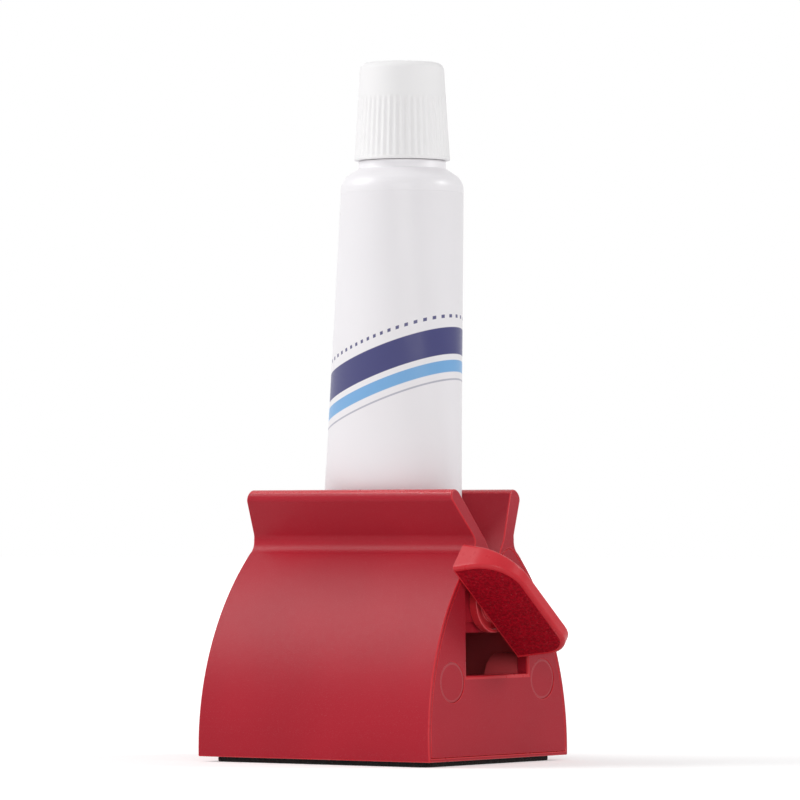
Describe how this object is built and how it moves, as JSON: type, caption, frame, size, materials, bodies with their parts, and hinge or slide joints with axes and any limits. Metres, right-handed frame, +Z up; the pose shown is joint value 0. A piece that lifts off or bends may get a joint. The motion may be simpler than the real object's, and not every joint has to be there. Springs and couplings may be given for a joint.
{
  "type": "toothpaste dispenser",
  "caption": "Tent-shaped stand with flared lips that holds a paste tube upright and winds its tail on a slotted rod turned by a paddle key.",
  "frame": {"origin": "centre of the foam pad's underside, on the table", "axes": "+Z up, +X towards the key, front at -Y"},
  "size_m": [0.0876, 0.0596, 0.1759],
  "materials": {
    "red_plastic": "semi-gloss with a fine blasted grain",
    "black_foam": "matt",
    "white_laminate": "satin",
    "white_plastic": "satin",
    "liner": "matt",
    "paste": "glossy paste"
  },
  "bodies": {
    "stand": {"housing": "red_plastic", "end_cover": "red_plastic", "cover_pegs": "red_plastic", "bearing_plate": "red_plastic", "base_pad": "black_foam", "tube_sleeve": "white_laminate", "tube_shoulder": "white_plastic", "paste_fill": "paste"},
    "bush": {"spindle_bush": "red_plastic"},
    "key": {"winding_key": "red_plastic", "spindle": "red_plastic"},
    "tail": {"tail_roll": "white_laminate"},
    "liner": {"cap_liner": "liner"},
    "cap": {"cap": "white_plastic"}
  },
  "joints": [
    {"name": "spindle_pull", "type": "slide", "parent": "stand", "child": "bush", "axis": [1, 0, 0], "range_m": [0, 0.07]},
    {"name": "key_turn", "type": "hinge", "parent": "bush", "child": "key", "pos_m": [0.034, 0, 0.0404], "axis": [1, 0, 0], "continuous": true},
    {"name": "tail_turn", "type": "hinge", "parent": "stand", "child": "tail", "pos_m": [0, 0, 0.0404], "axis": [1, 0, 0], "continuous": true},
    {"name": "cap_lift", "type": "slide", "parent": "stand", "child": "liner", "axis": [0, 0, 1], "range_m": [0, 0.0075]},
    {"name": "cap_turn", "type": "hinge", "parent": "liner", "child": "cap", "pos_m": [0.0063, 0, 0.16], "axis": [0, 0, 1], "range_deg": [0, 900]}
  ],
  "couplings": [
    {"joint": "tail_turn", "follows": "key_turn", "ratio": 1},
    {"joint": "cap_lift", "follows": "cap_turn", "m_per_rad": 0.00047746}
  ]
}
